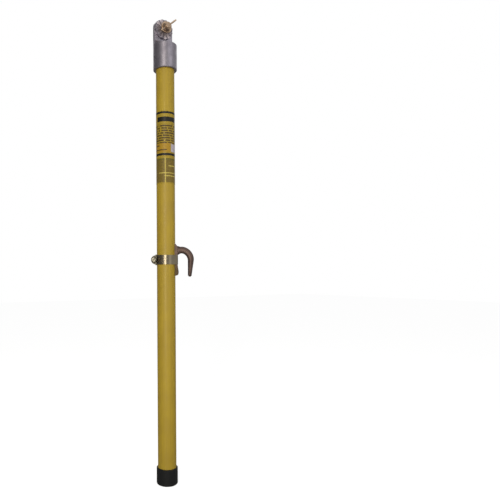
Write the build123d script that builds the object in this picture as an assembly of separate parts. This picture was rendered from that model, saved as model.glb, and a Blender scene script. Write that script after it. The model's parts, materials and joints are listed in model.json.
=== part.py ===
from build123d import *
import math
import os

# Lineman hot stick in millimetres, +Z up the pole towards the head.
# The origin is on the pole's axis, at the bottom face of the butt cap.
# The head's stud points along -Y.

# Pole
pole_diameter = 31.75
pole_wall = 3.2
pole_length = 737.0
core_clearance = 0.05
end_seal_length = 6.0

# Butt cap
cap_wall = 2.3
cap_floor = 4.0
cap_height = 28.3
cap_edge_radius = 2.6
cap_lip_chamfer = 0.8

# Head casting
bond_thickness = 0.4
ferrule_wall = 4.0
socket_depth = 34.0
ferrule_roof = 8.5
ferrule_lip_chamfer = 1.0
stud_height_above_shoulder = 30.0
ear_face_y = 5.5
ear_half_width = 17.5
ear_side_slope = 9.0
shoulder_scoop = 11.0
casting_edge_radius = 0.8
cross_pin_diameter = 3.2
cross_pin_below_pole_top = 15.0
cross_pin_recess = 0.9

# Rosette on the ear
tooth_count = 12
tooth_depth = 2.4
tooth_flat_angle = 2.6
rosette_height = 4.0
rosette_radius = 16.3
rosette_draft = 0.4
rosette_hub_radius = 7.0
groove_start_share = 0.05
groove_end_share = 1.2

# Stud, washer and wing nut
stud_diameter = 9.525
stud_thread_clearance = 0.06
stud_head_across_flats = 14.3
stud_head_height = 5.6
stud_pocket_clearance = 0.2
stud_pocket_floor_y = 11.0
lock_washer_thickness = 1.6
lock_washer_width = 2.3
tool_gap = 6.0
washer_diameter = 19.5
washer_thickness = 2.0
washer_edge_chamfer = 0.4
nut_height = 6.0
nut_base_radius = 7.6
nut_top_radius = 6.4
wing_span_radius = 19.0
wing_tip_radius = 2.7
wing_root_radius = 2.3
wing_tip_height = 7.0
wing_thickness = 2.4
wing_edge_chamfer = 0.5
wing_angle = 40.0
nut_stop_gap = 0.3
stop_ring_thickness = 1.0
stop_ring_width = 1.4
stop_ring_groove = 0.6
stud_tip_length = 0.9

# Labels
label_thickness = 0.15
label_glue = 0.03
label_below_ferrule = 73.0
label_upper_length = 73.0
label_joint_gap = 0.5
label_lower_length = 49.0

# Band clamp
clamp_below_labels = 128.5
clamp_fit = 0.05
band_width = 15.9
band_thickness = 0.7
band_layer_gap = 0.05
band_climb_angle = 17.5
band_tail_angle = 71.0
slot_pitch = 3.0
slot_length = 7.6
slot_width = 1.3
slot_slant = 8.0
housing_length = 13.0
housing_wall = 0.9
housing_end_wall = 0.8
housing_overhang = 1.1
housing_arch_radius = 7.6
housing_crown_gap = 1.4
worm_radius = 2.95
worm_band_gap = 0.15
worm_end_gap = 0.2
screw_neck_radius = 2.2
screw_tip_radius = 1.5
screw_journal_clearance = 0.08
screw_tip_length = 0.7
screw_flange_gap = 1.4
screw_flange_radius = 4.9
screw_flange_thickness = 1.0
screw_head_across_flats = 8.0
screw_head_height = 4.4
screw_slot_width = 1.2
screw_slot_depth = 1.9
screw_slot_turn = 35.0

# Hanging hook
hook_angle = -28.0
shank_thickness = 3.72
shank_half_width = 6.5
shank_corner_radius = 2.0
shank_top = 27.1
shank_top_slope = 4.5
shank_top_flat = 0.3
shank_bottom = 27.3
shank_bottom_step = 0.6
shank_lip = 1.8
shank_lip_drop = 21.0
shank_lip_length = 3.6
shank_lip_lean = 0.5
shank_foot_slope = 2.0
shank_edge_radius = 1.2
band_channel_gap = 0.25
throat_width = 17.55
crown_offset = 6.45
crown_rise = 10.9
crown_depth = 11.6
crown_inner_drop = 2.0
root_top_flare = 1.2
arm_depth = 10.5
arm_tip_depth = 6.7
arm_half_width = 5.0
tip_drop = 25.8

# Places worked out from the sizes above
pole_radius = pole_diameter / 2
pole_bore = pole_radius - pole_wall
pole_top = cap_floor + pole_length
ferrule_bore = pole_radius + bond_thickness
ferrule_radius = ferrule_bore + ferrule_wall
ferrule_bottom = pole_top - socket_depth
socket_top = pole_top + bond_thickness
shoulder_z = socket_top + ferrule_roof
stud_z = shoulder_z + stud_height_above_shoulder
ear_top = stud_z + ear_half_width
cross_pin_z = pole_top - cross_pin_below_pole_top
cross_pin_radius = cross_pin_diameter / 2
stud_radius = stud_diameter / 2
tooth_tip_y = ear_face_y - rosette_height
washer_back_y = tooth_tip_y - tool_gap
nut_base_y = washer_back_y - washer_thickness
nut_end_y = nut_base_y - nut_height
stop_ring_y = nut_end_y - nut_stop_gap
stud_end_y = stop_ring_y - stop_ring_thickness - stud_tip_length
stud_head_y = stud_pocket_floor_y + lock_washer_thickness
label_top = ferrule_bottom - label_below_ferrule
label_lower_top = label_top - label_upper_length - label_joint_gap
clamp_height = label_lower_top - label_lower_length - clamp_below_labels
clamp_bore = pole_radius + clamp_fit
band_layer = band_thickness + band_layer_gap
tail_inner = clamp_bore + band_layer
tail_outer = tail_inner + band_thickness
worm_axis = tail_outer + worm_band_gap + worm_radius
arch_top = worm_axis + worm_radius + housing_crown_gap + housing_wall
arch_middle = arch_top - housing_arch_radius
housing_angle = math.degrees(math.asin(housing_length / 2 / tail_inner))
shank_face = clamp_bore + shank_thickness
arm_inner = shank_face + throat_width
tip_radius = arm_tip_depth / 2
tip_middle = arm_inner + tip_radius


def rod(radius, start, end):
    """A cylinder from one point to another."""
    line = Vector(end) - Vector(start)
    low = (Align.CENTER, Align.CENTER, Align.MIN)
    return Plane(origin=start, z_dir=line) * Cylinder(radius, line.length, align=low)


def ring(outer, inner, z_low, z_high):
    """A tube standing on Z."""
    return rod(outer, (0, 0, z_low), (0, 0, z_high)) - rod(inner, (0, 0, z_low), (0, 0, z_high))


def stud_rod(radius, y_from, y_to):
    """A cylinder on the stud's axis."""
    return rod(radius, (0, y_from, stud_z), (0, y_to, stud_z))


def hex_rod(across_flats, start, end):
    """A hexagonal bar from one point to another."""
    line = Vector(end) - Vector(start)
    outline = Plane(origin=start, z_dir=line) * RegularPolygon(across_flats / 2, 6, major_radius=False)
    return extrude(outline, amount=line.length)


def polar(radius, angle):
    """A point in plan, at an angle in degrees from the hook's side."""
    turn = math.radians(angle)
    return (radius * math.cos(turn), radius * math.sin(turn))


def cross_pin_hole():
    reach = 2 * ferrule_radius
    return rod(cross_pin_radius, (-reach, 0, cross_pin_z), (reach, 0, cross_pin_z))


# Pole, its core and its seals
def make_pole_tube():
    return ring(pole_radius, pole_bore, cap_floor, pole_top) - cross_pin_hole()


def make_foam_core():
    low = cap_floor + end_seal_length
    high = pole_top - end_seal_length
    return rod(pole_bore - core_clearance, (0, 0, low), (0, 0, high)) - cross_pin_hole()


def make_end_seal(z_low):
    return rod(pole_bore - core_clearance, (0, 0, z_low), (0, 0, z_low + end_seal_length))


def make_butt_cap():
    cap = rod(pole_radius + cap_wall, (0, 0, 0), (0, 0, cap_height))
    cap = fillet(cap.edges().group_by(Axis.Z)[0], cap_edge_radius)
    cap = chamfer(cap.edges().group_by(Axis.Z)[-1], cap_lip_chamfer)
    return cap - rod(pole_radius, (0, 0, cap_floor), (0, 0, cap_height))


def make_label(top, length):
    inner = pole_radius + label_glue
    return ring(inner + label_thickness, inner, top - length, top)


# Head casting
def ear_outline():
    """The head seen along the stud: full ferrule width, sloped in to the round-topped ear."""
    points = [
        (-ferrule_radius, ferrule_bottom),
        (ferrule_radius, ferrule_bottom),
        (ferrule_radius, shoulder_z),
        (ear_half_width, shoulder_z + ear_side_slope),
        (ear_half_width, stud_z),
        (-ear_half_width, stud_z),
        (-ear_half_width, shoulder_z + ear_side_slope),
        (-ferrule_radius, shoulder_z),
    ]
    outline = make_face(Polyline(*points, close=True)) + Pos(0, stud_z) * Circle(ear_half_width)
    reach = 2 * ferrule_radius
    return extrude(Plane.XZ * outline, amount=reach, both=True)


def front_cut():
    """What is cut away in front of the ear, down to the shoulder, with a scooped corner."""
    reach = 2 * ferrule_radius
    points = [
        (-reach, shoulder_z),
        (ear_face_y, shoulder_z),
        (ear_face_y, ear_top + reach),
        (-reach, ear_top + reach),
    ]
    outline = make_face(Polyline(*points, close=True))
    inner_corner = outline.vertices().sort_by_distance((ear_face_y, shoulder_z))[0]
    outline = fillet(inner_corner, shoulder_scoop)
    return extrude(Plane.YZ * outline, amount=reach, both=True)


def rosette_groove():
    """One V groove that deepens from the stud's axis to the rim."""
    half_angle = math.radians(180 / tooth_count - tooth_flat_angle / 2)
    faces = []
    for share in (groove_start_share, groove_end_share):
        radius = rosette_radius * share
        half_width = radius * math.tan(half_angle)
        corners = [(-half_width, 0), (half_width, 0), (0, tooth_depth * share)]
        plane = Plane(origin=(0, tooth_tip_y, stud_z + radius), x_dir=(1, 0, 0), z_dir=(0, 0, 1))
        faces.append(plane * make_face(Polyline(*corners, close=True)))
    return loft(faces, ruled=True)


def rosette():
    """The drafted boss on the ear's face with its ring of radial teeth."""
    draft_plane = Plane(origin=(0, ear_face_y, stud_z), z_dir=(0, -1, 0))
    low = (Align.CENTER, Align.CENTER, Align.MIN)
    boss = draft_plane * Cone(rosette_radius + rosette_draft, rosette_radius, rosette_height, align=low)
    boss -= stud_rod(rosette_hub_radius, tooth_tip_y + tooth_depth / 2, tooth_tip_y)
    centre = Axis((0, 0, stud_z), (0, 1, 0))
    for number in range(tooth_count):
        boss -= rosette_groove().rotate(centre, number * 360 / tooth_count)
    return boss


def make_head_casting():
    body = rod(ferrule_radius, (0, 0, ferrule_bottom), (0, 0, ear_top)) & ear_outline()
    lip = body.edges().group_by(Axis.Z)[0]
    body = chamfer(lip, ferrule_lip_chamfer)
    scoop = front_cut()
    scooped = body - scoop
    rim = new_edges(body, scoop, combined=scooped)
    body = fillet(rim, casting_edge_radius)
    body += rosette()
    body -= rod(ferrule_bore, (0, 0, ferrule_bottom), (0, 0, socket_top))
    body -= cross_pin_hole()
    body -= stud_rod(stud_radius, tooth_tip_y, stud_pocket_floor_y)
    pocket = stud_head_across_flats + 2 * stud_pocket_clearance
    body -= hex_rod(pocket, (0, stud_pocket_floor_y, stud_z), (0, 2 * ferrule_radius, stud_z))
    return body


def make_head_bond():
    sleeve = rod(ferrule_bore, (0, 0, ferrule_bottom), (0, 0, socket_top))
    return sleeve - rod(pole_radius, (0, 0, ferrule_bottom), (0, 0, pole_top)) - cross_pin_hole()


def make_head_cross_pin():
    reach = ferrule_radius - cross_pin_recess
    return rod(cross_pin_radius, (-reach, 0, cross_pin_z), (reach, 0, cross_pin_z))


# Stud, washer and wing nut
def make_head_stud():
    head_end_y = stud_head_y + stud_head_height
    head = hex_rod(stud_head_across_flats, (0, stud_head_y, stud_z), (0, head_end_y, stud_z))
    shank = stud_rod(stud_radius, stud_head_y, stud_end_y)
    tip = shank.edges().group_by(Axis.Y)[0]
    shank = chamfer(tip, stud_tip_length / 2)
    groove = stud_rod(stud_radius, stop_ring_y, stop_ring_y - stop_ring_thickness)
    groove -= stud_rod(stud_radius - stop_ring_groove, stop_ring_y, stop_ring_y - stop_ring_thickness)
    return head + shank - groove


def make_stud_lock_washer():
    washer = stud_rod(stud_radius + lock_washer_width, stud_pocket_floor_y, stud_head_y)
    return washer - stud_rod(stud_radius, stud_pocket_floor_y, stud_head_y)


def make_tool_washer():
    washer = stud_rod(washer_diameter / 2, washer_back_y, nut_base_y)
    washer = chamfer(washer.edges().filter_by(GeomType.CIRCLE), washer_edge_chamfer)
    return washer - stud_rod(stud_radius + stud_thread_clearance, washer_back_y, nut_base_y)


def make_wing_nut():
    low = (Align.CENTER, Align.CENTER, Align.MIN)
    base_plane = Plane(origin=(0, nut_base_y, stud_z), z_dir=(0, -1, 0))
    hub = base_plane * Cone(nut_base_radius, nut_top_radius, nut_height, align=low)
    tip = Pos(wing_span_radius - wing_tip_radius, wing_tip_height) * Circle(wing_tip_radius)
    root = Pos(nut_top_radius / 2, nut_height / 2) * Circle(wing_root_radius)
    outline = make_hull((tip + root).edges())
    wing = extrude(Plane.XY * outline, amount=wing_thickness / 2, both=True)
    wing = chamfer(wing.edges(), wing_edge_chamfer)
    wing = wing.mirror(Plane.XZ).translate((0, nut_base_y, stud_z))
    centre = Axis((0, 0, stud_z), (0, 1, 0))
    nut = hub
    for turn in (-wing_angle, 180 - wing_angle):
        nut += wing.rotate(centre, turn)
    return nut - stud_rod(stud_radius + stud_thread_clearance, nut_base_y, nut_end_y)


def make_nut_stop_ring():
    inner = stud_radius - stop_ring_groove
    end_y = stop_ring_y - stop_ring_thickness
    return stud_rod(inner + stop_ring_width, stop_ring_y, end_y) - stud_rod(inner, stop_ring_y, end_y)


# Band clamp. It is drawn with the hook along +X and its own middle at Z 0, then turned and lifted.
def on_pole(shape):
    return Pos(0, 0, clamp_height) * Rot(0, 0, hook_angle) * shape


def belt(offset):
    """The outline of a belt drawn round pole and shank, at a distance outside their faces."""
    corner_u = shank_face - shank_corner_radius
    corner_v = shank_half_width - shank_corner_radius
    rounds = Circle(clamp_bore + offset)
    for side in (-1, 1):
        rounds += Pos(corner_u, side * corner_v) * Circle(shank_corner_radius + offset)
    return make_hull(rounds.edges())


def ring_sector(inner_start, inner_end, thickness, start, end):
    """A curved strip in plan between two angles, whose inner radius may rise on the way."""
    middle = (start + end) / 2
    inner_middle = (inner_start + inner_end) / 2
    inside = ThreePointArc(
        polar(inner_start, start),
        polar(inner_middle, middle),
        polar(inner_end, end),
    )
    outside = ThreePointArc(
        polar(inner_start + thickness, start),
        polar(inner_middle + thickness, middle),
        polar(inner_end + thickness, end),
    )
    first = Line(inside @ 0, outside @ 0)
    last = Line(inside @ 1, outside @ 1)
    return make_face([inside, last, outside, first])


def band_slots():
    """The slanted slots in the tail that the worm bites in."""
    tail_length = math.radians(housing_angle + band_tail_angle) * tail_outer
    count = int(tail_length / slot_pitch)
    slot = Box(4 * band_layer, slot_width, slot_length)
    slots = []
    for number in range(count):
        angle = 180 - housing_angle + math.degrees((number + 0.5) * slot_pitch / tail_outer)
        slots.append(Rot(0, 0, angle) * Pos(tail_outer, 0, 0) * Rot(slot_slant, 0, 0) * slot)
    return slots


def make_clamp_band():
    climb_start = 180 - housing_angle - band_climb_angle
    climb_end = 180 - housing_angle
    tail_end = 180 + band_tail_angle
    start_edge = 180 + housing_angle
    reach = 3 * clamp_bore
    gap = make_face(Polyline((0, 0), polar(reach, climb_start), polar(reach, start_edge), close=True))
    loop = belt(band_thickness) - belt(0) - gap
    climb = ring_sector(clamp_bore, tail_inner, band_thickness, climb_start, climb_end)
    tail = ring_sector(tail_inner, tail_inner, band_thickness, climb_end, tail_end)
    half = band_width / 2
    tail_strip = extrude(tail, amount=half, both=True)
    for slot in band_slots():
        tail_strip -= slot
    band = extrude(loop, amount=half, both=True) + extrude(climb, amount=half, both=True)
    return on_pole(band + tail_strip)


def make_clamp_saddle():
    plate = ring_sector(clamp_bore, clamp_bore, band_thickness, 180 - housing_angle, 180 + housing_angle)
    half = band_width / 2 + housing_overhang
    return on_pole(extrude(plate, amount=half, both=True))


def arch_prism(radius, half_length):
    """A round-topped bar along the screw, from the pole's axis out past the screw."""
    across = Plane(origin=(0, 0, 0), x_dir=(-1, 0, 0), z_dir=(0, 1, 0))
    section = Pos(arch_middle, 0) * Circle(radius)
    section += Pos(arch_middle / 2, 0) * Rectangle(arch_middle, 2 * radius)
    return extrude(across * section, amount=half_length, both=True)


def make_clamp_housing():
    """A stamped arch over the worm, on a curved cover whose legs stand on the saddle."""
    half_length = housing_length / 2
    half_width = band_width / 2 + housing_overhang
    cover_outer = tail_outer + worm_band_gap + housing_wall
    cover = rod(cover_outer, (0, 0, -half_width), (0, 0, half_width))
    cover &= Pos(-cover_outer / 2, 0, 0) * Box(cover_outer, housing_length, 2 * half_width)
    body = cover + arch_prism(housing_arch_radius, half_length)
    body -= arch_prism(housing_arch_radius - housing_wall, half_length - housing_end_wall)
    over_tail = tail_outer + band_layer_gap
    body -= rod(over_tail, (0, 0, -band_width / 2), (0, 0, band_width / 2))
    body -= rod(clamp_bore + band_thickness, (0, 0, -band_width), (0, 0, band_width))
    neck_hole = screw_neck_radius + screw_journal_clearance
    tip_hole = screw_tip_radius + screw_journal_clearance
    body -= rod(neck_hole, (-worm_axis, 0, 0), (-worm_axis, -housing_length, 0))
    body -= rod(tip_hole, (-worm_axis, 0, 0), (-worm_axis, housing_length, 0))
    return on_pole(body)


def make_clamp_screw():
    """The worm, with its journals, flange and slotted hexagon head towards -Y."""
    worm_end = housing_length / 2 - housing_end_wall - worm_end_gap
    neck_end = housing_length / 2 + screw_flange_gap
    flange_end = neck_end + screw_flange_thickness
    head_end = flange_end + screw_head_height
    tip_end = housing_length / 2 + screw_tip_length
    screw = rod(worm_radius, (-worm_axis, worm_end, 0), (-worm_axis, -worm_end, 0))
    screw += rod(screw_tip_radius, (-worm_axis, worm_end, 0), (-worm_axis, tip_end, 0))
    screw += rod(screw_neck_radius, (-worm_axis, -worm_end, 0), (-worm_axis, -neck_end, 0))
    screw += rod(screw_flange_radius, (-worm_axis, -neck_end, 0), (-worm_axis, -flange_end, 0))
    head = hex_rod(screw_head_across_flats, (-worm_axis, -flange_end, 0), (-worm_axis, -head_end, 0))
    slot = Box(2 * screw_flange_radius, 2 * screw_slot_depth, screw_slot_width)
    screw += head - Pos(-worm_axis, -head_end, 0) * Rot(0, screw_slot_turn, 0) * slot
    return on_pole(screw)


# Hanging hook
def hook_shank():
    """The flat foot on the pole, with a slanted top, a band channel and a lip below."""
    inside = clamp_bore / 2
    lip_face = shank_face + shank_lip
    points = [
        (inside, shank_top),
        (clamp_bore + shank_top_flat, shank_top),
        (shank_face, shank_top - shank_top_slope),
        (shank_face, -band_width / 2 - 2 * band_channel_gap),
        (lip_face, -shank_lip_drop),
        (lip_face - shank_lip_lean, -shank_lip_drop - shank_lip_length),
        (shank_face, shank_foot_slope / 2 - shank_bottom),
        (clamp_bore + shank_bottom_step, -shank_bottom),
        (inside, -shank_bottom),
    ]
    outline = make_face(Polyline(*points, close=True))
    lip_corners = outline.vertices().filter_by(lambda v: v.X > shank_face + shank_lip_lean)
    outline = fillet(lip_corners, shank_edge_radius)
    side = extrude(Plane.XZ * outline, amount=shank_half_width, both=True)
    plan = Pos((inside + lip_face) / 2, 0) * RectangleRounded(
        lip_face - inside,
        2 * shank_half_width,
        shank_corner_radius,
    )
    return side & extrude(plan, amount=2 * shank_bottom, both=True)


def arm_section(inner, outer, half_width):
    """An oval across the arm between a point of its inner and one of its outer outline."""
    across = Vector(outer[0] - inner[0], 0, outer[1] - inner[1])
    middle = ((inner[0] + outer[0]) / 2, 0, (inner[1] + outer[1]) / 2)
    plane = Plane(origin=middle, x_dir=across, z_dir=across.cross(Vector(0, 1, 0)))
    return plane * Ellipse(across.length / 2, half_width)


def crown_section(turn):
    """The oval across the crown, from 0 degrees at its top to 90 where the leg starts."""
    crown_u = shank_face + crown_offset
    sine = math.sin(math.radians(turn))
    cosine = math.cos(math.radians(turn))
    inner_u = crown_u + (arm_inner - crown_u) * sine
    outer_u = crown_u + (arm_inner + arm_depth - crown_u) * sine
    inner_z = (crown_rise + crown_inner_drop) * cosine - crown_inner_drop
    outer_z = (crown_rise + crown_depth) * cosine
    return arm_section((inner_u, inner_z), (outer_u, outer_z), arm_half_width)


def root_section(share):
    """The oval across the root, from 0 at the shank's face to 1 at the crown's top."""
    root_low = band_width / 2 + 2 * band_channel_gap
    fade = (1 + math.cos(math.pi * max(share, 0))) / 2
    u = shank_face + share * crown_offset
    inner_z = crown_rise - (crown_rise - root_low) * fade
    outer_z = crown_rise + crown_depth + root_top_flare * fade**2
    return arm_section((u, inner_z), (u, outer_z), arm_half_width)


def leg_section(share):
    """The oval across the leg, from 0 at the crown's end to 1 at the tip."""
    depth = arm_depth + (arm_tip_depth - arm_depth) * share
    half_width = arm_half_width + (tip_radius - arm_half_width) * share
    z = -tip_drop * share
    return arm_section((arm_inner, z), (arm_inner + depth, z), half_width)


def hook_arm():
    """The curved arm: a flared root, a quarter-oval crown and a straight tapered leg."""
    root = [root_section(share) for share in (-0.12, 0.3, 0.65)] + [crown_section(0)]
    crown = [crown_section(turn) for turn in (0, 30, 60, 90)]
    leg = [crown_section(90)] + [leg_section(share) for share in (0.35, 0.7, 1)]
    return loft(root) + loft(crown) + loft(leg)


def make_hanger_hook():
    bulb = Pos(tip_middle, 0, -tip_drop) * Sphere(tip_radius)
    hook = hook_shank() + hook_arm() + bulb
    hook -= rod(clamp_bore, (0, 0, -2 * shank_bottom), (0, 0, 2 * shank_top))
    channel = belt(band_thickness + band_channel_gap) - belt(0)
    hook -= extrude(channel, amount=band_width / 2 + band_channel_gap, both=True)
    return on_pole(hook)


nodes = {
    "pole_tube": make_pole_tube(),
    "foam_core": make_foam_core(),
    "top_end_seal": make_end_seal(pole_top - end_seal_length),
    "bottom_end_seal": make_end_seal(cap_floor),
    "butt_cap": make_butt_cap(),
    "head_casting": make_head_casting(),
    "head_bond": make_head_bond(),
    "head_cross_pin": make_head_cross_pin(),
    "head_stud": make_head_stud(),
    "stud_lock_washer": make_stud_lock_washer(),
    "tool_washer": make_tool_washer(),
    "wing_nut": make_wing_nut(),
    "nut_stop_ring": make_nut_stop_ring(),
    "label_upper": make_label(label_top, label_upper_length),
    "label_lower": make_label(label_lower_top, label_lower_length),
    "clamp_band": make_clamp_band(),
    "clamp_housing": make_clamp_housing(),
    "clamp_saddle": make_clamp_saddle(),
    "clamp_screw": make_clamp_screw(),
    "hanger_hook": make_hanger_hook(),
}

os.makedirs("parts", exist_ok=True)
for name, shape in nodes.items():
    export_step(shape, f"parts/{name}.step")
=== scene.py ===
import json
import math

import bmesh
import bpy
from mathutils import Matrix, Vector


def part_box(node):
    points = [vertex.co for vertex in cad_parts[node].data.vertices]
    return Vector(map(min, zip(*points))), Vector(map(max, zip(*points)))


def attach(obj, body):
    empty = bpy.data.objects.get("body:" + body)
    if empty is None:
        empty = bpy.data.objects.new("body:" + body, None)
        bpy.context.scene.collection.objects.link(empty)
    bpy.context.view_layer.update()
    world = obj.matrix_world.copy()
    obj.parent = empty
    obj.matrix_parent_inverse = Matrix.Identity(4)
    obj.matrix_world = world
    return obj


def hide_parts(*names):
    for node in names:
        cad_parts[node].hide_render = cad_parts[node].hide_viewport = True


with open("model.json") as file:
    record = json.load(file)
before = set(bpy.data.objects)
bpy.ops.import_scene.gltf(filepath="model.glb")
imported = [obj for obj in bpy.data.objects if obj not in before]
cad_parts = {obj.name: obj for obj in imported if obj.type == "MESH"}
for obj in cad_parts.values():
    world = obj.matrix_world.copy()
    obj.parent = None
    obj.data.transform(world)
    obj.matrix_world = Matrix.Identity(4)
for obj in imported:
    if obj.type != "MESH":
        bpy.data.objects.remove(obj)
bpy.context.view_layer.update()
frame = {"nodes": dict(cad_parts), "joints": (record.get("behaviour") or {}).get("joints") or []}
scene = bpy.context.scene
MM = 0.001

# Camera, light and floor
# The stick is seen from 28 degrees left of the stud, with the lens 357 mm above the floor. A narrow
# bright soft box and a weak wide one stand left of the lens and a broad one on the right, and grey
# cards round the stick give the metal something darker than the backdrop to reflect.
view_angle = math.radians(-28)
camera_distance = 836 * MM
eye_height = 357 * MM
camera_roll = math.radians(0.31)
to_camera = Vector((math.sin(view_angle), -math.cos(view_angle), 0))
to_right = Vector((math.cos(view_angle), math.sin(view_angle), 0))
up = Vector((0, 0, 1))

lens = bpy.data.cameras.new("camera")
lens.lens = 35.06
lens.sensor_width = 36
lens.shift_x = 0.1676
lens.shift_y = 0.05
lens.clip_start = 0.01
camera = bpy.data.objects.new("camera", lens)
camera.location = to_camera * camera_distance + up * eye_height
camera.rotation_euler = (math.radians(90), camera_roll, view_angle)
scene.collection.objects.link(camera)
scene.camera = camera
scene.view_settings.view_transform = "Standard"


def colour(hex_code):
    """An sRGB hex value as the linear colour that a shader takes."""
    channels = [int(hex_code[place:place + 2], 16) / 255 for place in (1, 3, 5)]
    return (*[c / 12.92 if c <= 0.04045 else ((c + 0.055) / 1.055) ** 2.4 for c in channels], 1.0)


white = colour("#FFFFFF")


def add(tree, kind, settings=None, links=None):
    """Adds a shader node, sets its properties and sockets, and links other nodes' outputs to it."""
    made = tree.nodes.new(kind)
    for name, value in (settings or {}).items():
        if isinstance(name, int) or name in made.inputs:
            made.inputs[name].default_value = value
        else:
            setattr(made, name, value)
    for name, source in (links or {}).items():
        tree.links.new(source, made.inputs[name])
    return made


def lamp(name, right, out, height, width, tall, watts, tint):
    """A rectangular soft box that points at the stick's axis."""
    light = bpy.data.lights.new(name, "AREA")
    light.shape = "RECTANGLE"
    light.size = width
    light.size_y = tall
    light.energy = watts
    light.color = colour(tint)[:3]
    box = bpy.data.objects.new(name, light)
    place = to_right * right + to_camera * out + up * height
    aim = Vector((0, 0, height)) - place
    box.location = place
    box.rotation_euler = aim.to_track_quat("-Z", "Y").to_euler()
    scene.collection.objects.link(box)


lamp("soft_box_wide", right=-0.32, out=1.2, height=0.5, width=0.5, tall=1.3, watts=0.8, tint="#FFFFFF")
lamp("soft_box_narrow", right=-0.19, out=1.05, height=0.45, width=0.1, tall=1.2, watts=11, tint="#FFF9EC")
lamp("fill_right", right=1.0, out=0.9, height=0.75, width=1.0, tall=1.6, watts=5, tint="#FFFFFF")

card_height = 2.0


def card(name, right, out, turn, width, glow):
    """A grey studio card that stands on the floor and is seen only in reflections."""
    sheet = bmesh.new()
    bmesh.ops.create_grid(sheet, x_segments=1, y_segments=1, size=0.5)
    upright = Matrix.Rotation(math.radians(90), 4, "X")
    stretch = Matrix.Diagonal((width, card_height, 1, 1))
    aside = Matrix.Rotation(view_angle + math.radians(turn), 4, "Z")
    place = Matrix.Translation(to_right * right + to_camera * out + up * card_height / 2)
    bmesh.ops.transform(sheet, matrix=place @ aside @ upright @ stretch, verts=sheet.verts[:])
    data = bpy.data.meshes.new(name)
    sheet.to_mesh(data)
    sheet.free()
    glowing = bpy.data.materials.new(name + "_paper")
    glowing.use_nodes = True
    glowing.node_tree.nodes.clear()
    shine = add(glowing.node_tree, "ShaderNodeEmission", {"Color": white, "Strength": glow})
    add(glowing.node_tree, "ShaderNodeOutputMaterial", links={"Surface": shine.outputs[0]})
    data.materials.append(glowing)
    flag = bpy.data.objects.new(name, data)
    flag.visible_camera = False
    flag.visible_shadow = False
    flag.visible_diffuse = False
    scene.collection.objects.link(flag)


card("card_left", right=-0.62, out=0.05, turn=90, width=1.5, glow=0.24)
card("card_behind_lens", right=0.1, out=1.7, turn=0, width=2.6, glow=0.25)
card("card_right", right=1.55, out=0.3, turn=90, width=3.0, glow=0.5)

# The world is white to the lens and in reflections, and a soft grey as ambient light.
world = bpy.data.worlds.new("studio")
scene.world = world
world.use_nodes = True
sky = world.node_tree
sky.nodes.clear()
rays = add(sky, "ShaderNodeLightPath")
seen = add(
    sky,
    "ShaderNodeMath",
    {"operation": "MAXIMUM"},
    {0: rays.outputs["Is Camera Ray"], 1: rays.outputs["Is Glossy Ray"]},
)
seen_through = add(
    sky,
    "ShaderNodeMath",
    {"operation": "MAXIMUM"},
    {0: seen.outputs[0], 1: rays.outputs["Is Transmission Ray"]},
)
ambient = add(sky, "ShaderNodeBackground", {"Color": white, "Strength": 0.4})
backdrop = add(sky, "ShaderNodeBackground", {"Color": white, "Strength": 1.0})
sky_mix = add(
    sky,
    "ShaderNodeMixShader",
    links={0: seen_through.outputs[0], 1: ambient.outputs[0], 2: backdrop.outputs[0]},
)
add(sky, "ShaderNodeOutputWorld", links={"Surface": sky_mix.outputs[0]})

# White paper floor: to the lens most of its brightness is its own, so that it meets the white
# backdrop, and the rest is lit, so that the stick's shadow stays.
floor_reach = 6
paper = bpy.data.materials.new("white_paper_sweep")
paper.use_nodes = True
paper_tree = paper.node_tree
paper_tree.nodes.clear()
paper_rays = add(paper_tree, "ShaderNodeLightPath")
paper_lit = add(paper_tree, "ShaderNodeBsdfDiffuse", {"Color": colour("#BCBCBC")})
paper_glow = add(paper_tree, "ShaderNodeEmission", {"Color": white, "Strength": 0.78})
paper_dark = add(paper_tree, "ShaderNodeEmission", {"Color": white, "Strength": 0.0})
paper_own = add(
    paper_tree,
    "ShaderNodeMixShader",
    links={0: paper_rays.outputs["Is Camera Ray"], 1: paper_dark.outputs[0], 2: paper_glow.outputs[0]},
)
paper_both = add(paper_tree, "ShaderNodeAddShader", links={0: paper_lit.outputs[0], 1: paper_own.outputs[0]})
add(paper_tree, "ShaderNodeOutputMaterial", links={"Surface": paper_both.outputs[0]})

floor_mesh = bmesh.new()
bmesh.ops.create_grid(floor_mesh, x_segments=1, y_segments=1, size=floor_reach)
floor_data = bpy.data.meshes.new("floor")
floor_mesh.to_mesh(floor_data)
floor_mesh.free()
floor_data.materials.append(paper)
floor = bpy.data.objects.new("floor", floor_data)
scene.collection.objects.link(floor)

# Pole tube
# A pultruded and wound glass-fibre tube with a yellow, semi-gloss gel coat. Fine lengthwise streaks
# and faint slanting bands of the wound glass show through the coat, and handling has left it slightly
# uneven. Dirt fills the narrow joint between the two labels.
gel_yellow = "#9D8415"
gel_yellow_dark = "#917812"
joint_dirt = "#12100B"
streak_width = 1.5 * MM
streak_length = 100 * MM
handled_patch = 35.7 * MM
glass_band = 27.65 * MM
joint_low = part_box("label_lower")[1].z
joint_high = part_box("label_upper")[0].z


def new_material(name):
    """A material with one Principled shader, and the object's own coordinates in metres."""
    made = bpy.data.materials.new(name)
    made.use_nodes = True
    tree = made.node_tree
    tree.nodes.clear()
    shader = add(tree, "ShaderNodeBsdfPrincipled")
    add(tree, "ShaderNodeOutputMaterial", links={"Surface": shader.outputs[0]})
    place = add(tree, "ShaderNodeTexCoord").outputs["Object"]
    return made, tree, shader, place


def surface(tree, shader, values, patterns):
    """Sets the shader's even values, and links the patterns to its other sockets."""
    for name, value in values.items():
        shader.inputs[name].default_value = value
    for name, source in patterns.items():
        tree.links.new(source, shader.inputs[name])


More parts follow.
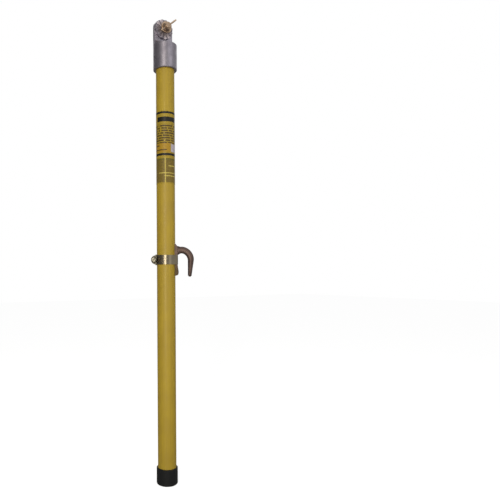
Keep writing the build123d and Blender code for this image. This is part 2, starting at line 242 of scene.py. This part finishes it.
def dress(material, *nodes):
    """Gives CAD pieces their finish."""
    for name in nodes:
        slots = frame["nodes"][name].data.materials
        slots.clear()
        slots.append(material)


gel_coat, tree, shader, place = new_material("yellow_gel_coat_fibreglass")
streak_map = add(
    tree,
    "ShaderNodeMapping",
    {"Scale": (1 / streak_width, 1 / streak_width, 1 / streak_length)},
    {"Vector": place},
)
streaks = add(
    tree,
    "ShaderNodeTexNoise",
    {"Scale": 1.0, "Detail": 4.0, "Roughness": 0.6},
    {"Vector": streak_map.outputs[0]},
)
patches = add(tree, "ShaderNodeTexNoise", {"Scale": 1 / handled_patch, "Detail": 3.0}, {"Vector": place})
uneven = add(
    tree,
    "ShaderNodeMath",
    {"operation": "MULTIPLY"},
    {0: streaks.outputs[0], 1: patches.outputs[0]},
)
uneven_range = add(
    tree,
    "ShaderNodeMapRange",
    {"From Min": 0.14, "From Max": 0.38},
    {"Value": uneven.outputs[0]},
)
coat_colour = add(
    tree,
    "ShaderNodeMix",
    {"data_type": "RGBA", 6: colour(gel_yellow_dark), 7: colour(gel_yellow)},
    {0: uneven_range.outputs[0]},
)
tube_height = add(tree, "ShaderNodeSeparateXYZ", links={0: place})
label_joint = add(
    tree,
    "ShaderNodeMath",
    {"operation": "COMPARE", 1: (joint_low + joint_high) / 2, 2: (joint_high - joint_low) / 2},
    {0: tube_height.outputs["Z"]},
)
dirty_colour = add(
    tree,
    "ShaderNodeMix",
    {"data_type": "RGBA", 7: colour(joint_dirt)},
    {0: label_joint.outputs[0], 6: coat_colour.outputs[2]},
)
# At a scale of 1 this slanting wave repeats every 2 pi / 10 along the pole.
glass = add(
    tree,
    "ShaderNodeTexWave",
    {
        "wave_type": "BANDS",
        "bands_direction": "DIAGONAL",
        "Scale": 2 * math.pi / 10 / glass_band,
        "Distortion": 1.5,
    },
    {"Vector": place},
)
glass_depth = add(
    tree,
    "ShaderNodeMath",
    {"operation": "MULTIPLY_ADD", 1: 0.35},
    {0: glass.outputs["Fac"], 2: streaks.outputs[0]},
)
coat_bump = add(
    tree,
    "ShaderNodeBump",
    {"Strength": 0.12, "Distance": 0.1 * MM},
    {"Height": glass_depth.outputs[0]},
)
coat_roughness = add(
    tree,
    "ShaderNodeMapRange",
    {"From Min": 0.3, "From Max": 0.7, "To Min": 0.56, "To Max": 0.68},
    {"Value": patches.outputs[0]},
)
surface(
    tree,
    shader,
    {"IOR": 1.5, "Coat Weight": 0.05, "Coat Roughness": 0.18},
    {
        "Base Color": dirty_colour.outputs[2],
        "Roughness": coat_roughness.outputs[0],
        "Normal": coat_bump.outputs[0],
    },
)
dress(gel_coat, "pole_tube")

# Foam core and end seals
# Rigid closed-cell foam fills the tube, and a poured epoxy plug closes each end. Neither shows when the
# stick is whole, but each is finished for a view of the opened tube: pale matt cells, and a dark, glossy
# plug with a slight swirl. The same epoxy bonds the head to the tube.
foam_cell = 0.8 * MM
epoxy_swirl = 4.55 * MM
foam, tree, shader, place = new_material("rigid_polyurethane_foam")
cells = add(tree, "ShaderNodeTexVoronoi", {"Scale": 1 / foam_cell}, {"Vector": place})
foam_colour = add(
    tree,
    "ShaderNodeMix",
    {"data_type": "RGBA", 6: colour("#C9B06A"), 7: colour("#E6D69C")},
    {0: cells.outputs["Distance"]},
)
foam_bump = add(
    tree,
    "ShaderNodeBump",
    {"Strength": 0.6, "Distance": 0.3 * MM},
    {"Height": cells.outputs["Distance"]},
)
surface(
    tree,
    shader,
    {"Roughness": 0.9},
    {"Base Color": foam_colour.outputs[2], "Normal": foam_bump.outputs[0]},
)
dress(foam, "foam_core")

plug, tree, shader, place = new_material("poured_epoxy")
swirl = add(
    tree,
    "ShaderNodeTexNoise",
    {"Scale": 1 / epoxy_swirl, "Detail": 3.0, "Distortion": 0.8},
    {"Vector": place},
)
plug_colour = add(
    tree,
    "ShaderNodeMix",
    {"data_type": "RGBA", 6: colour("#3A3630"), 7: colour("#57503F")},
    {0: swirl.outputs[0]},
)
plug_bump = add(
    tree,
    "ShaderNodeBump",
    {"Strength": 0.1, "Distance": 0.2 * MM},
    {"Height": swirl.outputs[0]},
)
surface(
    tree,
    shader,
    {"Roughness": 0.35},
    {"Base Color": plug_colour.outputs[2], "Normal": plug_bump.outputs[0]},
)
dress(plug, "top_end_seal", "bottom_end_seal", "head_bond")

# Butt cap
# A cup moulded in black rubber and pressed over the pole's end. It is nearly matt, with a fine moulding
# grain and paler dust low down where the stick is stood on the ground.
rubber_grain = 1.0 * MM
dust_patch = 11.1 * MM
scuff_height = 6 * MM
rubber, tree, shader, place = new_material("moulded_black_rubber")
grain = add(tree, "ShaderNodeTexNoise", {"Scale": 1 / rubber_grain, "Detail": 5.0}, {"Vector": place})
dust = add(
    tree,
    "ShaderNodeTexNoise",
    {"Scale": 1 / dust_patch, "Detail": 4.0, "Roughness": 0.65},
    {"Vector": place},
)
height = add(tree, "ShaderNodeSeparateXYZ", links={0: place})
low_down = add(
    tree,
    "ShaderNodeMapRange",
    {"From Min": 0.0, "From Max": scuff_height, "To Min": 0.5, "To Max": 0.08},
    {"Value": height.outputs["Z"]},
)
dusty = add(
    tree,
    "ShaderNodeMath",
    {"operation": "MULTIPLY"},
    {0: dust.outputs[0], 1: low_down.outputs[0]},
)
rubber_colour = add(
    tree,
    "ShaderNodeMix",
    {"data_type": "RGBA", 6: colour("#0C0D0E"), 7: colour("#2C2C2C")},
    {0: dusty.outputs[0]},
)
rubber_bump = add(
    tree,
    "ShaderNodeBump",
    {"Strength": 0.35, "Distance": 0.15 * MM},
    {"Height": grain.outputs[0]},
)
surface(
    tree,
    shader,
    {"Roughness": 0.6, "Specular IOR Level": 0.22},
    {"Base Color": rubber_colour.outputs[2], "Normal": rubber_bump.outputs[0]},
)
dress(rubber, "butt_cap")

# Head casting
# The head is cast in aluminium and tumbled. The skin is a slightly mauve grey and a little pitted by
# the sand's grain, with darker oxide in patches. The toothed face is duller and browner, where tools
# leave their dirt between the teeth.
stud_z = sum(corner.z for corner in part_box("wing_nut")) / 2
grime_radius = 17 * MM
sand_grain = 1.4 * MM
pit_spacing = 2.6 * MM
oxide_patch = 11.8 * MM
casting, tree, shader, place = new_material("tumbled_cast_aluminium")
sand = add(
    tree,
    "ShaderNodeTexNoise",
    {"Scale": 1 / sand_grain, "Detail": 4.0, "Roughness": 0.6},
    {"Vector": place},
)
oxide = add(
    tree,
    "ShaderNodeTexNoise",
    {"Scale": 1 / oxide_patch, "Detail": 5.0, "Roughness": 0.7},
    {"Vector": place},
)
pits = add(tree, "ShaderNodeTexVoronoi", {"Scale": 1 / pit_spacing}, {"Vector": place})
pit_holes = add(
    tree,
    "ShaderNodeMapRange",
    {"From Min": 0.0, "From Max": 0.22},
    {"Value": pits.outputs["Distance"]},
)
oxide_range = add(
    tree,
    "ShaderNodeMapRange",
    {"From Min": 0.35, "From Max": 0.68},
    {"Value": oxide.outputs[0]},
)
casting_colour = add(
    tree,
    "ShaderNodeMix",
    {"data_type": "RGBA", 6: colour("#97929A"), 7: colour("#807B84")},
    {0: oxide_range.outputs[0]},
)
from_stud = add(tree, "ShaderNodeVectorMath", {"operation": "SUBTRACT", 1: (0, 0, stud_z)}, {0: place})
across = add(
    tree,
    "ShaderNodeVectorMath",
    {"operation": "MULTIPLY", 1: (1, 0, 1)},
    {0: from_stud.outputs[0]},
)
off_axis = add(tree, "ShaderNodeVectorMath", {"operation": "LENGTH"}, {0: across.outputs[0]})
grime_amount = add(
    tree,
    "ShaderNodeMapRange",
    {"From Min": 0.6 * grime_radius, "From Max": grime_radius, "To Min": 0.6, "To Max": 0.0},
    {"Value": off_axis.outputs["Value"]},
)
grimy_colour = add(
    tree,
    "ShaderNodeMix",
    {"data_type": "RGBA", 7: colour("#8C7F7E")},
    {0: grime_amount.outputs[0], 6: casting_colour.outputs[2]},
)
casting_height = add(
    tree,
    "ShaderNodeMath",
    {"operation": "MULTIPLY_ADD", 1: 0.5},
    {0: pit_holes.outputs[0], 2: sand.outputs[0]},
)
casting_bump = add(
    tree,
    "ShaderNodeBump",
    {"Strength": 0.16, "Distance": 0.25 * MM},
    {"Height": casting_height.outputs[0]},
)
casting_roughness = add(
    tree,
    "ShaderNodeMapRange",
    {"From Min": 0.3, "From Max": 0.7, "To Min": 0.38, "To Max": 0.5},
    {"Value": oxide.outputs[0]},
)
grimy_roughness = add(
    tree,
    "ShaderNodeMath",
    {"operation": "MULTIPLY_ADD", 1: 0.4},
    {0: grime_amount.outputs[0], 2: casting_roughness.outputs[0]},
)
surface(
    tree,
    shader,
    {"Metallic": 1.0},
    {
        "Base Color": grimy_colour.outputs[2],
        "Roughness": grimy_roughness.outputs[0],
        "Normal": casting_bump.outputs[0],
    },
)
dress(casting, "head_casting")

# Cross pin and lock washer
# Plain steel that has darkened to a dull near-black: the pin is driven in below the casting's surface,
# and the split lock washer sits under the bolt's head.
rust_patch = 2.5 * MM
dark_steel, tree, shader, place = new_material("darkened_plain_steel")
rust = add(tree, "ShaderNodeTexNoise", {"Scale": 1 / rust_patch, "Detail": 4.0}, {"Vector": place})
steel_colour = add(
    tree,
    "ShaderNodeMix",
    {"data_type": "RGBA", 6: colour("#4A4746"), 7: colour("#33302F")},
    {0: rust.outputs[0]},
)
steel_bump = add(
    tree,
    "ShaderNodeBump",
    {"Strength": 0.2, "Distance": 0.1 * MM},
    {"Height": rust.outputs[0]},
)
surface(
    tree,
    shader,
    {"Metallic": 1.0, "Roughness": 0.5},
    {"Base Color": steel_colour.outputs[2], "Normal": steel_bump.outputs[0]},
)
dress(dark_steel, "head_cross_pin", "stud_lock_washer")

# Stud, washer, wing nut and stop ring
# The bolt and its ring are silicon bronze, and the nut and washer are cast brass. All are dull with
# handling, with browner tarnish in patches.
tarnish_patch = 6 * MM
brass_grain = 1.11 * MM


def worn_brass(name, bright, brown, roughness):
    """Dull brass or bronze: tarnish in patches over a fine cast or turned grain."""
    made, tree, shader, place = new_material(name)
    tarnish = add(
        tree,
        "ShaderNodeTexNoise",
        {"Scale": 1 / tarnish_patch, "Detail": 6.0, "Roughness": 0.7},
        {"Vector": place},
    )
    fine = add(tree, "ShaderNodeTexNoise", {"Scale": 1 / brass_grain, "Detail": 3.0}, {"Vector": place})
    amount = add(
        tree,
        "ShaderNodeMapRange",
        {"From Min": 0.38, "From Max": 0.64},
        {"Value": tarnish.outputs[0]},
    )
    tint = add(
        tree,
        "ShaderNodeMix",
        {"data_type": "RGBA", 6: colour(bright), 7: colour(brown)},
        {0: amount.outputs[0]},
    )
    bump = add(
        tree,
        "ShaderNodeBump",
        {"Strength": 0.2, "Distance": 0.1 * MM},
        {"Height": fine.outputs[0]},
    )
    surface(
        tree,
        shader,
        {"Metallic": 1.0, "Roughness": roughness},
        {"Base Color": tint.outputs[2], "Normal": bump.outputs[0]},
    )
    return made


dress(worn_brass("worn_cast_brass", "#BBA48C", "#8B7765", 0.48), "tool_washer", "wing_nut")
stud_bronze = worn_brass("dull_silicon_bronze", "#B09A84", "#7C6858", 0.52)
dress(stud_bronze, "nut_stop_ring")


def turned(profile, steps):
    """A closed solid of revolution about Z, from (radius, height) points that start and end on the axis."""
    mesh = bmesh.new()
    points = [mesh.verts.new((radius, 0, height)) for radius, height in profile]
    lines = [mesh.edges.new(pair) for pair in zip(points, points[1:])]
    bmesh.ops.spin(
        mesh,
        geom=points + lines,
        axis=(0, 0, 1),
        cent=(0, 0, 0),
        angle=2 * math.pi,
        steps=steps,
        use_merge=True,
    )
    bmesh.ops.remove_doubles(mesh, verts=mesh.verts[:], dist=0.0001 * MM)
    bmesh.ops.recalc_face_normals(mesh, faces=mesh.faces[:])
    return mesh


def cut_thread(mesh, low, high, pitch, depth, run_out):
    """Presses a right-hand V thread into a turned mesh between two heights, fading out at both ends."""
    for vertex in mesh.verts:
        x, y, z = vertex.co
        if not low < z < high:
            continue
        phase = (z / pitch - math.atan2(y, x) / (2 * math.pi)) % 1
        valley = 1 - abs(2 * phase - 1)
        fade = min(1, (z - low) / run_out, (high - z) / run_out)
        radius = math.hypot(x, y)
        shrink = 1 - depth * valley * fade / radius
        vertex.co.x *= shrink
        vertex.co.y *= shrink


def hexagon(across_flats, low, high):
    """A hexagonal prism about Z."""
    mesh = bmesh.new()
    corner = across_flats / 2 / math.cos(math.radians(30))
    bmesh.ops.create_cone(
        mesh,
        cap_ends=True,
        segments=6,
        radius1=corner,
        radius2=corner,
        depth=high - low,
        matrix=Matrix.Translation((0, 0, (low + high) / 2)),
    )
    return mesh


def soften(mesh, edges, width):
    """Rounds edges of a forged or pressed head."""
    bmesh.ops.bevel(
        mesh,
        geom=edges,
        offset=width,
        affect="EDGES",
        segments=2,
        profile=0.5,
        material=-1,
    )


def finished(name, parts, place, material, body, node):
    """Joins closed shells into one smooth-shaded object that stands for a CAD node."""
    whole = bmesh.new()
    for part in parts:
        data = bpy.data.meshes.new(name + "_shell")
        part.to_mesh(data)
        part.free()
        whole.from_mesh(data)
        bpy.data.meshes.remove(data)
    bmesh.ops.transform(whole, matrix=place, verts=whole.verts[:])
    for face in whole.faces:
        face.smooth = True
    for edge in whole.edges:
        edge.smooth = edge.calc_face_angle(0) < math.radians(35)
    data = bpy.data.meshes.new(name)
    whole.to_mesh(data)
    whole.free()
    data.materials.append(material)
    made = bpy.data.objects.new(name, data)
    scene.collection.objects.link(made)
    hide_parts(node)
    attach(made, body)


# The bolt: a 3/8 inch, 16 thread shank, a hexagonal head in the casting's pocket, and a groove for the
# stop ring. Z is along the bolt, from its head to its free end.
stud_radius = 4.7625 * MM
thread_pitch = 1.5875 * MM
thread_depth = 0.85 * MM
bolt_flats = 14.3 * MM
head_end = -18.2 * MM
head_seat = -12.6 * MM
head_middle = head_end / 2 + head_seat / 2
thread_start = -1.0 * MM
groove_start = 12.8 * MM
groove_end = 13.8 * MM
groove_depth = 0.6 * MM
stud_end = 14.7 * MM
row_gap = thread_pitch / 8
rows = int((groove_start - thread_start) / row_gap)
shank = [(0, head_middle), (stud_radius, head_middle), (stud_radius, thread_start)]
shank += [(stud_radius, thread_start + row_gap * row) for row in range(1, rows)]
shank += [
    (stud_radius, groove_start),
    (stud_radius - groove_depth, groove_start),
    (stud_radius - groove_depth, groove_end),
    (stud_radius, groove_end),
    (stud_radius, stud_end - 0.5 * MM),
    (stud_radius - 0.45 * MM, stud_end),
    (0, stud_end),
]
bolt = turned(shank, 48)
cut_thread(bolt, thread_start, groove_start, thread_pitch, thread_depth, run_out=thread_pitch)
bolt_head = hexagon(bolt_flats, head_end, head_seat)
soften(bolt_head, bolt_head.edges[:], 0.5 * MM)
stud_place = Matrix.Translation((0, 0, stud_z)) @ Matrix.Rotation(math.radians(90), 4, "X")
finished("threaded_stud", [bolt, bolt_head], stud_place, stud_bronze, "pole", "head_stud")

# Labels
# Two half-matt printed films are wrapped round the pole under the head, and face 28 degrees left of the
# stud. Black border rings, a plain black bar, broken rules and an empty white field keep the printed
# tone, and nothing on them can be read.
film_yellow = "#9B8321"
film_orange = "#947315"
ink_black = "#0B0903"
ink_grey = "#46360F"
blank_white = "#A49DA6"
panel_brown = "#6E5C1C"
panel_rules = "#58491C"
panel_header = "#5C5318"
gutter_yellow = "#A8963F"
rule_yellow = "#B0A04A"
mottle_size = 6.25 * MM
ring_width = 3.4 * MM
ring_edge = 1.0 * MM
joint_ring = 1.7 * MM
round_the_pole = 181
label_turn = math.radians(-28)
label_front = (math.sin(label_turn), -math.cos(label_turn), 0)
label_right = (math.cos(label_turn), math.sin(label_turn), 0)
upper_bottom, upper_top = [corner.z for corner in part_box("label_upper")]
lower_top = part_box("label_lower")[1].z


def wrapped(tree, place):
    """The angle round the pole, 0 degrees at the print's middle and growing rightwards, and the height."""
    ahead = add(tree, "ShaderNodeVectorMath", {"operation": "DOT_PRODUCT", 1: label_front}, {0: place})
    aside = add(tree, "ShaderNodeVectorMath", {"operation": "DOT_PRODUCT", 1: label_right}, {0: place})
    turn = add(
        tree,
        "ShaderNodeMath",
        {"operation": "ARCTAN2"},
        {0: aside.outputs["Value"], 1: ahead.outputs["Value"]},
    )
    degrees = add(tree, "ShaderNodeMath", {"operation": "DEGREES"}, {0: turn.outputs[0]})
    split = add(tree, "ShaderNodeSeparateXYZ", links={0: place})
    return degrees.outputs[0], split.outputs["Z"]


def field(tree, where, left, right, low, high):
    """1 inside a printed rectangle, between two angles and two heights, and 0 outside it."""
    angle, height = where
    across = add(
        tree,
        "ShaderNodeMath",
        {"operation": "COMPARE", 1: (left + right) / 2, 2: (right - left) / 2},
        {0: angle},
    )
    along = add(
        tree,
        "ShaderNodeMath",
        {"operation": "COMPARE", 1: (low + high) / 2, 2: (high - low) / 2},
        {0: height},
    )
    both = add(
        tree,
        "ShaderNodeMath",
        {"operation": "MULTIPLY"},
        {0: across.outputs[0], 1: along.outputs[0]},
    )
    return both.outputs[0]


def broken_rules(tree, where, inside, pitch, dash_angle, share):
    """Rows of dashes of uneven length inside a field: 1 on a dash and 0 beside it."""
    angle, height = where
    rows = add(tree, "ShaderNodeMath", {"operation": "DIVIDE", 1: pitch}, {0: height})
    row = add(tree, "ShaderNodeMath", {"operation": "FLOOR"}, {0: rows.outputs[0]})
    within = add(tree, "ShaderNodeMath", {"operation": "FRACT"}, {0: rows.outputs[0]})
    thick = add(tree, "ShaderNodeMath", {"operation": "COMPARE", 1: 0.5, 2: 0.3}, {0: within.outputs[0]})
    steps = add(tree, "ShaderNodeMath", {"operation": "DIVIDE", 1: dash_angle}, {0: angle})
    step = add(tree, "ShaderNodeMath", {"operation": "FLOOR"}, {0: steps.outputs[0]})
    cell = add(tree, "ShaderNodeCombineXYZ", links={0: step.outputs[0], 1: row.outputs[0]})
    chance = add(tree, "ShaderNodeTexWhiteNoise", {"noise_dimensions": "2D"}, {"Vector": cell.outputs[0]})
    filled = add(tree, "ShaderNodeMath", {"operation": "LESS_THAN", 1: share}, {0: chance.outputs["Value"]})
    dash = add(
        tree,
        "ShaderNodeMath",
        {"operation": "MULTIPLY"},
        {0: thick.outputs[0], 1: filled.outputs[0]},
    )
    kept = add(tree, "ShaderNodeMath", {"operation": "MULTIPLY"}, {0: dash.outputs[0], 1: inside})
    return kept.outputs[0]


def printed_film(name, prints):
    """Yellow film, slightly mottled by the surface under it, with its inks printed in turn."""
    made, tree, shader, place = new_material(name)
    mottle = add(tree, "ShaderNodeTexNoise", {"Scale": 1 / mottle_size, "Detail": 4.0}, {"Vector": place})
    shade = add(
        tree,
        "ShaderNodeMix",
        {"data_type": "RGBA", "blend_type": "MULTIPLY", 0: 0.35, 6: colour(film_yellow)},
        {7: mottle.outputs[0]},
    )
    bump = add(
        tree,
        "ShaderNodeBump",
        {"Strength": 0.08, "Distance": 0.1 * MM},
        {"Height": mottle.outputs[0]},
    )
    tint = shade.outputs[2]
    for ink, mask in prints(tree, wrapped(tree, place)):
        print_over = add(tree, "ShaderNodeMix", {"data_type": "RGBA", 7: colour(ink)}, {0: mask, 6: tint})
        tint = print_over.outputs[2]
    surface(
        tree,
        shader,
        {"Roughness": 0.5, "Specular IOR Level": 0.3},
        {"Base Color": tint, "Normal": bump.outputs[0]},
    )
    return made


def upper_prints(tree, where):
    """Rows of broken rules, an orange field with two rules and a blank patch, a black bar and two rings."""
    text = field(tree, where, -85, 85, 579.5 * MM, 612 * MM)
    prints = [(ink_grey, broken_rules(tree, where, text, pitch=4.1 * MM, dash_angle=5.0, share=0.84))]
    for ink, left, right, low, high in (
        (film_orange, -100, 31, 564, 579.5),
        (ink_grey, -80, -38, 574.6, 576.4),
        (ink_grey, -80, 8, 567.4, 569.2),
        (blank_white, 35, 80, 565, 578.5),
        (ink_black, -56, 75, 616, 624),
    ):
        prints.append((ink, field(tree, where, left, right, low * MM, high * MM)))
    for low, high in (
        (upper_top - ring_edge - ring_width, upper_top - ring_edge),
        (upper_bottom - ring_edge, upper_bottom + joint_ring),
    ):
        prints.append((ink_black, field(tree, where, -round_the_pole, round_the_pole, low, high)))
    return prints


def lower_prints(tree, where):
    """A brown panel of fine broken rules with a header, a pale gutter and three pale rules, and a ring."""
    panel = field(tree, where, -75, 75, 513.5 * MM, 554 * MM)
    prints = [
        (panel_brown, panel),
        (panel_rules, broken_rules(tree, where, panel, pitch=1.7 * MM, dash_angle=3.0, share=0.6)),
        (panel_header, field(tree, where, -75, 75, 551 * MM, 554 * MM)),
        (gutter_yellow, field(tree, where, -5, 1, 513 * MM, 555 * MM)),
    ]
    for low, left in ((540.4, 18), (528.6, -45), (523.6, -8)):
        prints.append((rule_yellow, field(tree, where, left, 75, low * MM, (low + 1.4) * MM)))
    ring_low, ring_high = lower_top - joint_ring, lower_top + ring_edge
    prints.append((ink_black, field(tree, where, -round_the_pole, round_the_pole, ring_low, ring_high)))
    return prints


dress(printed_film("printed_film_upper", upper_prints), "label_upper")
dress(printed_film("printed_film_lower", lower_prints), "label_lower")

# Band clamp
# A worm-drive clamp. The band is rolled stainless steel, bright, with the fine lines of the rolls round
# the pole. The housing and its saddle are pressed, with blotches of oil in the skin, and are painted in a
# darker copy of the band's steel as painted shade.
roll_line = 0.7 * MM
roll_length = 50 * MM
stain_patch = 6.67 * MM
oil_patch = 3.85 * MM
rolled, tree, shader, place = new_material("rolled_stainless_steel")
roll_map = add(
    tree,
    "ShaderNodeMapping",
    {"Scale": (1 / roll_length, 1 / roll_length, 1 / roll_line)},
    {"Vector": place},
)
lines = add(tree, "ShaderNodeTexNoise", {"Scale": 1.0, "Detail": 3.0}, {"Vector": roll_map.outputs[0]})
stain = add(tree, "ShaderNodeTexNoise", {"Scale": 1 / stain_patch, "Detail": 4.0}, {"Vector": place})
rolled_colour = add(
    tree,
    "ShaderNodeMix",
    {"data_type": "RGBA", 6: colour("#857B68"), 7: colour("#6C6455")},
    {0: stain.outputs[0]},
)
rolled_bump = add(
    tree,
    "ShaderNodeBump",
    {"Strength": 0.08, "Distance": 0.05 * MM},
    {"Height": lines.outputs[0]},
)
surface(
    tree,
    shader,
    {"Metallic": 1.0, "Roughness": 0.32},
    {"Base Color": rolled_colour.outputs[2], "Normal": rolled_bump.outputs[0]},
)
dress(rolled, "clamp_band")

pressed, tree, shader, place = new_material("oily_pressed_stainless_steel_with_painted_shade")
oil = add(
    tree,
    "ShaderNodeTexNoise",
    {"Scale": 1 / oil_patch, "Detail": 5.0, "Roughness": 0.6},
    {"Vector": place},
)
oil_range = add(tree, "ShaderNodeMapRange", {"From Min": 0.35, "From Max": 0.65}, {"Value": oil.outputs[0]})
# Painted shade: the housing and saddle take a darker copy of the band's steel, blotched with oil.
shaded_pressed_colour = add(
    tree,
    "ShaderNodeMix",
    {"data_type": "RGBA", 6: colour("#5A564B"), 7: colour("#3B3830")},
    {0: oil_range.outputs[0]},
)
pressed_bump = add(
    tree,
    "ShaderNodeBump",
    {"Strength": 0.15, "Distance": 0.05 * MM},
    {"Height": oil.outputs[0]},
)
surface(
    tree,
    shader,
    {"Metallic": 1.0, "Roughness": 0.5},
    {"Base Color": shaded_pressed_colour.outputs[2], "Normal": pressed_bump.outputs[0]},
)
dress(pressed, "clamp_housing", "clamp_saddle")

# Worm screw
# Zinc-plated steel that has gone dull and blotchy: a worm whose thread bites in the band's slots, a
# flange that holds it in the housing, and a slotted hexagonal head. Z is along the screw.
spangle_size = 1.11 * MM
blotch_size = 3.33 * MM
worm_radius = 2.95 * MM
worm_pitch = 3.0 * MM
worm_depth = 0.9 * MM
worm_half = 5.5 * MM
neck_radius = 2.2 * MM
tip_radius = 1.5 * MM
tip_start = -7.2 * MM
flange_radius = 4.9 * MM
flange_low = 7.9 * MM
flange_high = 8.9 * MM
screw_flats = 8.0 * MM
screw_head_end = 13.3 * MM
slot_depth = 1.9 * MM
slot_width = 1.2 * MM
slot_turn = math.radians(35)

zinc, tree, shader, place = new_material("dull_zinc_plated_steel")
spangle = add(tree, "ShaderNodeTexVoronoi", {"Scale": 1 / spangle_size}, {"Vector": place})
blotches = add(tree, "ShaderNodeTexNoise", {"Scale": 1 / blotch_size, "Detail": 4.0}, {"Vector": place})
zinc_mix = add(
    tree,
    "ShaderNodeMath",
    {"operation": "MULTIPLY"},
    {0: spangle.outputs["Distance"], 1: blotches.outputs[0]},
)
zinc_colour = add(
    tree,
    "ShaderNodeMix",
    {"data_type": "RGBA", 6: colour("#4A473D"), 7: colour("#9A9688")},
    {0: zinc_mix.outputs[0]},
)
zinc_bump = add(
    tree,
    "ShaderNodeBump",
    {"Strength": 0.2, "Distance": 0.05 * MM},
    {"Height": blotches.outputs[0]},
)
surface(
    tree,
    shader,
    {"Metallic": 1.0, "Roughness": 0.36},
    {"Base Color": zinc_colour.outputs[2], "Normal": zinc_bump.outputs[0]},
)

worm_row = worm_pitch / 12
worm_rows = int(2 * worm_half / worm_row) + 1
worm = [(0, tip_start), (tip_radius - 0.2 * MM, tip_start), (tip_radius, tip_start + 0.2 * MM)]
worm += [(tip_radius, -worm_half)]
worm += [(worm_radius, -worm_half + worm_row * row) for row in range(worm_rows)]
worm += [(neck_radius, worm_half), (neck_radius, flange_low), (flange_radius - 0.3 * MM, flange_low)]
worm += [(flange_radius, flange_low + 0.3 * MM), (flange_radius, flange_high - 0.4 * MM)]
worm += [(flange_radius - 0.5 * MM, flange_high), (0, flange_high)]
worm_body = turned(worm, 48)
cut_thread(worm_body, -worm_half, worm_half, worm_pitch, worm_depth, run_out=0.6 * MM)


def slotted_head(across_flats, low, high):
    """A hexagonal head with a screwdriver slot across it: two raised lands on one hexagon."""
    mesh = hexagon(across_flats, low, high - slot_depth)
    across_slot = Vector((-math.sin(slot_turn), math.cos(slot_turn), 0))
    for side_sign in (-1, 1):
        bmesh.ops.bisect_plane(
            mesh,
            geom=mesh.verts[:] + mesh.edges[:] + mesh.faces[:],
            plane_co=across_slot * side_sign * slot_width / 2,
            plane_no=across_slot,
        )
    lands = [
        face
        for face in mesh.faces
        if face.normal.z > 0.9 and abs(face.calc_center_median().dot(across_slot)) > slot_width / 2
    ]
    for land in lands:
        raised = bmesh.ops.extrude_face_region(mesh, geom=[land])
        verts = [item for item in raised["geom"] if isinstance(item, bmesh.types.BMVert)]
        bmesh.ops.translate(mesh, vec=(0, 0, slot_depth), verts=verts)
        bmesh.ops.delete(mesh, geom=[land], context="FACES_ONLY")
    bmesh.ops.recalc_face_normals(mesh, faces=mesh.faces[:])
    soften(mesh, [edge for edge in mesh.edges if edge.calc_face_angle(0) > math.radians(40)], 0.25 * MM)
    return mesh


screw_joint = next(joint for joint in frame["joints"] if joint["name"] == "clamp_screw_turn")
screw_place = Matrix.Translation(Vector(screw_joint["pos_m"]))
screw_turn = Vector(screw_joint["axis"]).to_track_quat("Z", "Y").to_matrix().to_4x4()
head_shell = slotted_head(screw_flats, flange_high - 0.3 * MM, screw_head_end)
finished(
    "worm_screw",
    [worm_body, head_shell],
    screw_place @ screw_turn,
    zinc,
    "clamp_screw",
    "clamp_screw",
)

# Hanging hook
# Sand-cast bronze that has gone brown outdoors, with a rough and almost matt skin. Below the band, the
# flat shank near the pole is painted a darker, yellower brown than the arm as painted shade, deeper
# towards the bottom.
cast_grain = 1.8 * MM
patina_patch = 14.3 * MM
shank_reach = 19 * MM
arm_reach = 24 * MM
shank_shade_length = 12 * MM
band_low, band_high = [corner.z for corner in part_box("clamp_band")]
hook_bronze, tree, shader, place = new_material("brown_cast_bronze")
skin = add(
    tree,
    "ShaderNodeTexNoise",
    {"Scale": 1 / cast_grain, "Detail": 5.0, "Roughness": 0.65},
    {"Vector": place},
)
patina = add(tree, "ShaderNodeTexNoise", {"Scale": 1 / patina_patch, "Detail": 5.0}, {"Vector": place})
patina_range = add(
    tree,
    "ShaderNodeMapRange",
    {"From Min": 0.36, "From Max": 0.66},
    {"Value": patina.outputs[0]},
)
patina_colour = add(
    tree,
    "ShaderNodeMix",
    {"data_type": "RGBA", 6: colour("#5C4B44"), 7: colour("#463935")},
    {0: patina_range.outputs[0]},
)
across = add(tree, "ShaderNodeVectorMath", {"operation": "MULTIPLY", 1: (1, 1, 0)}, {0: place})
off_pole = add(tree, "ShaderNodeVectorMath", {"operation": "LENGTH"}, {0: across.outputs[0]})
# Painted shade: a mask that is strongest on the shank close to the pole and fades out along the arm.
shank_shade_near_pole = add(
    tree,
    "ShaderNodeMapRange",
    {"From Min": shank_reach, "From Max": arm_reach, "To Min": 0.7, "To Max": 0.0},
    {"Value": off_pole.outputs["Value"]},
)
height = add(tree, "ShaderNodeSeparateXYZ", links={0: place})
shade_growing_down = add(
    tree,
    "ShaderNodeMapRange",
    {"From Min": band_low, "From Max": band_low - shank_shade_length, "To Min": 0.5, "To Max": 1.0},
    {"Value": height.outputs["Z"]},
)
below = add(tree, "ShaderNodeMath", {"operation": "LESS_THAN", 1: band_high}, {0: height.outputs["Z"]})
shank_shade = add(
    tree,
    "ShaderNodeMath",
    {"operation": "MULTIPLY"},
    {0: shank_shade_near_pole.outputs[0], 1: shade_growing_down.outputs[0]},
)
shank_shade_below = add(
    tree,
    "ShaderNodeMath",
    {"operation": "MULTIPLY"},
    {0: shank_shade.outputs[0], 1: below.outputs[0]},
)
# Painted shade: the patina is mixed towards a dark yellow-brown on the shank below the band.
patina_with_painted_shade = add(
    tree,
    "ShaderNodeMix",
    {"data_type": "RGBA", 7: colour("#3E3110")},
    {0: shank_shade_below.outputs[0], 6: patina_colour.outputs[2]},
)
skin_bump = add(
    tree,
    "ShaderNodeBump",
    {"Strength": 0.35, "Distance": 0.25 * MM},
    {"Height": skin.outputs[0]},
)
surface(
    tree,
    shader,
    {"Metallic": 0.75, "Roughness": 0.52},
    {"Base Color": patina_with_painted_shade.outputs[2], "Normal": skin_bump.outputs[0]},
)
dress(hook_bronze, "hanger_hook")
